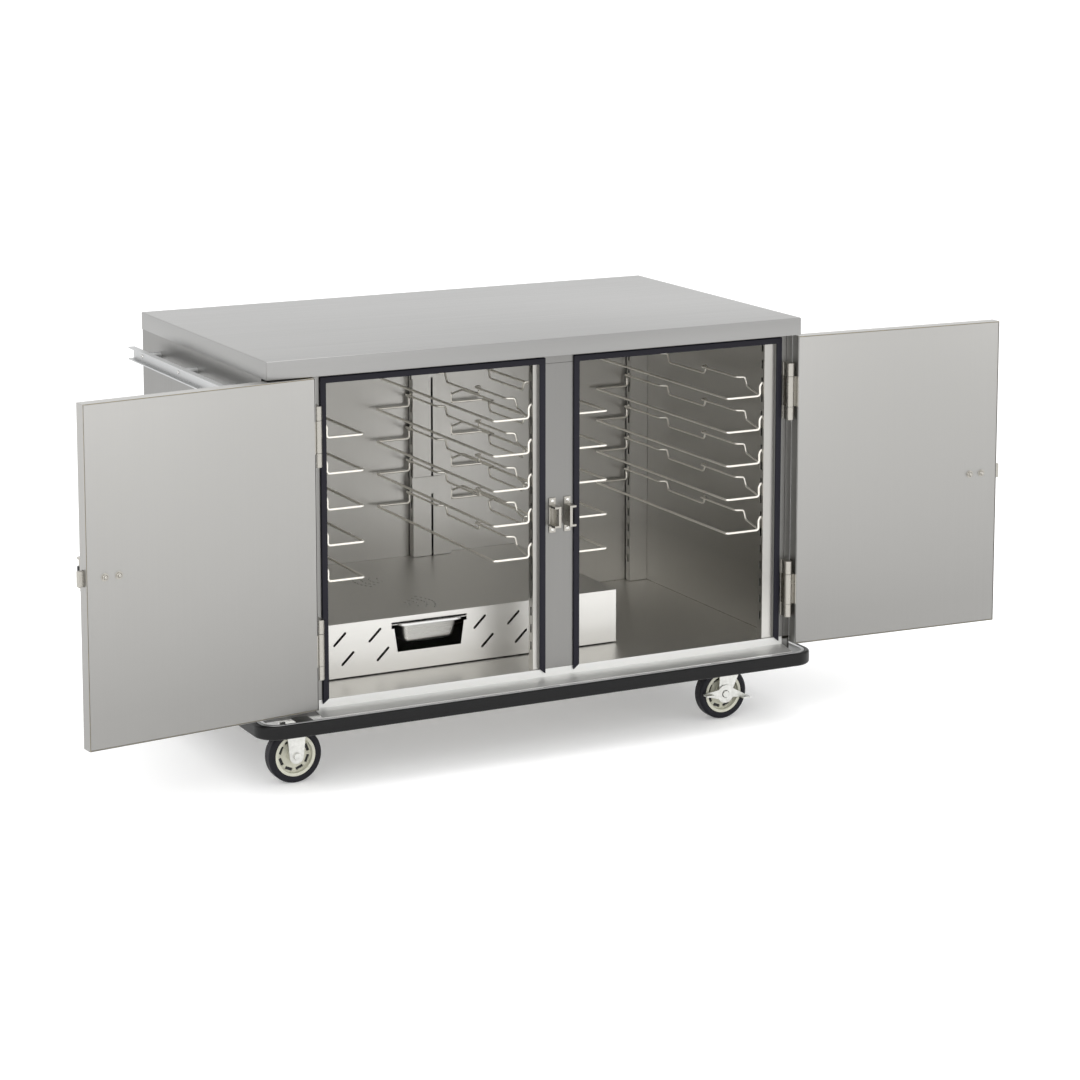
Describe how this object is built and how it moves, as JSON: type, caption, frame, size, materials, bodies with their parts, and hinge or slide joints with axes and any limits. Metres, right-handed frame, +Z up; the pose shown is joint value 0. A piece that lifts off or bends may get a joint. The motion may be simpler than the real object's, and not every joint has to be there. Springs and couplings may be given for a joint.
{
  "type": "food service trolley",
  "caption": "Insulated stainless tray trolley with two hinged doors, wire tray slides, a floor heater with a humidity pan, a bumper, a push rail and casters.",
  "frame": {"origin": "centre of the whole part's outline on the floor, with both doors open as stored", "axes": "+X to the right of a person facing the doors, +Y from the doors to the back, +Z up"},
  "size_m": [2.3806, 0.8994, 0.974],
  "materials": {
    "stainless": "satin brushed stainless sheet",
    "insulation": "glass wool",
    "red_lens": "clear gloss",
    "black_plastic": "fine texture",
    "seal_rubber": "satin",
    "chrome": "bright plated",
    "element": "heat tinted",
    "pan_steel": "pressed satin stainless",
    "aluminium": "mill finish extrusion",
    "zinc": "zinc plated pressing",
    "tyre": "dark resilient tread",
    "wheel_core": "moulded cream polyolefin"
  },
  "bodies": {
    "cabinet": {"top_cap": "stainless", "left_side_panel": "stainless", "right_side_panel": "stainless", "back_panel": "stainless", "cavity_liner": "stainless", "insulation": "insulation", "face_frame": "stainless", "mullion": "stainless", "sill": "stainless", "bay_cover": "stainless", "pilot_light": "red_lens", "power_inlet": "black_plastic", "door_gaskets": "seal_rubber", "pilasters": "stainless", "rack_left_outer": "chrome", "rack_left_inner": "chrome", "rack_right_inner": "chrome", "rack_right_outer": "chrome", "heater_housing": "stainless", "heating_element": "element", "base_frame": "stainless", "bumper_channel": "aluminium", "bumper_insert": "seal_rubber", "push_rail": "aluminium", "fixing_screws": "chrome", "frame_hinges": "chrome", "latch_keepers": "chrome", "fixed_casters": "zinc", "swivel_plates": "zinc"},
    "left_door": {"left_door_shell": "stainless", "left_door_liner": "stainless", "left_door_core": "insulation", "left_door_hinges": "chrome", "left_latch_case": "chrome"},
    "right_door": {"right_door_shell": "stainless", "right_door_liner": "stainless", "right_door_core": "insulation", "right_door_hinges": "chrome", "right_latch_case": "chrome"},
    "left_handle": {"left_latch_handle": "black_plastic"},
    "right_handle": {"right_latch_handle": "black_plastic"},
    "left_bolt": {"left_latch_bolt": "chrome"},
    "right_bolt": {"right_latch_bolt": "chrome"},
    "front_fork": {"front_swivel_fork": "zinc", "front_swivel_axle": "zinc"},
    "rear_fork": {"rear_swivel_fork": "zinc", "rear_swivel_axle": "zinc"},
    "front_pedal": {"front_brake_pedal": "zinc"},
    "rear_pedal": {"rear_brake_pedal": "zinc"},
    "wheel_front_left": {"tyre_front_left": "tyre", "core_front_left": "wheel_core"},
    "wheel_rear_left": {"tyre_rear_left": "tyre", "core_rear_left": "wheel_core"},
    "wheel_front_right": {"tyre_front_right": "tyre", "core_front_right": "wheel_core"},
    "wheel_rear_right": {"tyre_rear_right": "tyre", "core_rear_right": "wheel_core"},
    "knob": {"thermostat_knob": "black_plastic"},
    "switch": {"power_switch": "black_plastic"},
    "pan": {"humidity_pan": "pan_steel"}
  },
  "joints": [
    {"name": "left_door_hinge", "type": "hinge", "parent": "cabinet", "child": "left_door", "pos_m": [-0.60912, -0.36526, 0.5555], "axis": [0, 0, 1], "range_deg": [0, 173]},
    {"name": "right_door_hinge", "type": "hinge", "parent": "cabinet", "child": "right_door", "pos_m": [0.60588, -0.36526, 0.5555], "axis": [0, 0, 1], "range_deg": [-177, 0]},
    {"name": "left_handle_turn", "type": "hinge", "parent": "left_door", "child": "left_handle", "pos_m": [-1.16296, -0.37584, 0.5555], "axis": [0, 0, 1], "range_deg": [0, 24], "stiffness_Nm_per_rad": 1},
    {"name": "right_handle_turn", "type": "hinge", "parent": "right_door", "child": "right_handle", "pos_m": [1.15911, -0.33718, 0.5555], "axis": [0, 0, 1], "range_deg": [-24, 0], "stiffness_Nm_per_rad": 1},
    {"name": "left_bolt_slide", "type": "slide", "parent": "left_door", "child": "left_bolt", "axis": [0.9925, 0.1219, 0], "range_m": [0, 0.012]},
    {"name": "right_bolt_slide", "type": "slide", "parent": "right_door", "child": "right_bolt", "axis": [-0.9986, 0.0523, 0], "range_m": [0, 0.012]},
    {"name": "front_caster_swivel", "type": "hinge", "parent": "cabinet", "child": "front_fork", "pos_m": [0.49588, -0.29926, 0.157], "axis": [0, 0, 1], "continuous": true},
    {"name": "rear_caster_swivel", "type": "hinge", "parent": "cabinet", "child": "rear_fork", "pos_m": [0.49588, 0.33374, 0.157], "axis": [0, 0, 1], "continuous": true},
    {"name": "front_left_wheel_spin", "type": "hinge", "parent": "cabinet", "child": "wheel_front_left", "pos_m": [-0.65012, -0.29926, 0.0635], "axis": [0, 1, 0], "continuous": true},
    {"name": "rear_left_wheel_spin", "type": "hinge", "parent": "cabinet", "child": "wheel_rear_left", "pos_m": [-0.65012, 0.33374, 0.0635], "axis": [0, 1, 0], "continuous": true},
    {"name": "front_right_wheel_spin", "type": "hinge", "parent": "front_fork", "child": "wheel_front_right", "pos_m": [0.45988, -0.29926, 0.0635], "axis": [0, 1, 0], "continuous": true},
    {"name": "rear_right_wheel_spin", "type": "hinge", "parent": "rear_fork", "child": "wheel_rear_right", "pos_m": [0.45988, 0.33374, 0.0635], "axis": [0, 1, 0], "continuous": true},
    {"name": "front_brake_rock", "type": "hinge", "parent": "front_fork", "child": "front_pedal", "pos_m": [0.45988, -0.29926, 0.0635], "axis": [0, 1, 0], "range_deg": [0, 14]},
    {"name": "rear_brake_rock", "type": "hinge", "parent": "rear_fork", "child": "rear_pedal", "pos_m": [0.45988, 0.33374, 0.0635], "axis": [0, 1, 0], "range_deg": [0, 14]},
    {"name": "thermostat_turn", "type": "hinge", "parent": "cabinet", "child": "knob", "pos_m": [-0.67722, -0.30826, 0.713], "axis": [0, 1, 0], "range_deg": [0, 270]},
    {"name": "switch_rock", "type": "hinge", "parent": "cabinet", "child": "switch", "pos_m": [-0.67722, -0.30526, 0.623], "axis": [1, 0, 0], "range_deg": [0, 18]},
    {"name": "pan_slide", "type": "slide", "parent": "cabinet", "child": "pan", "axis": [0, -1, 0], "range_m": [0, 0.13]}
  ],
  "couplings": [
    {"joint": "left_bolt_slide", "follows": "left_handle_turn", "m_per_rad": 0.02864},
    {"joint": "right_bolt_slide", "follows": "right_handle_turn", "m_per_rad": -0.02864}
  ]
}
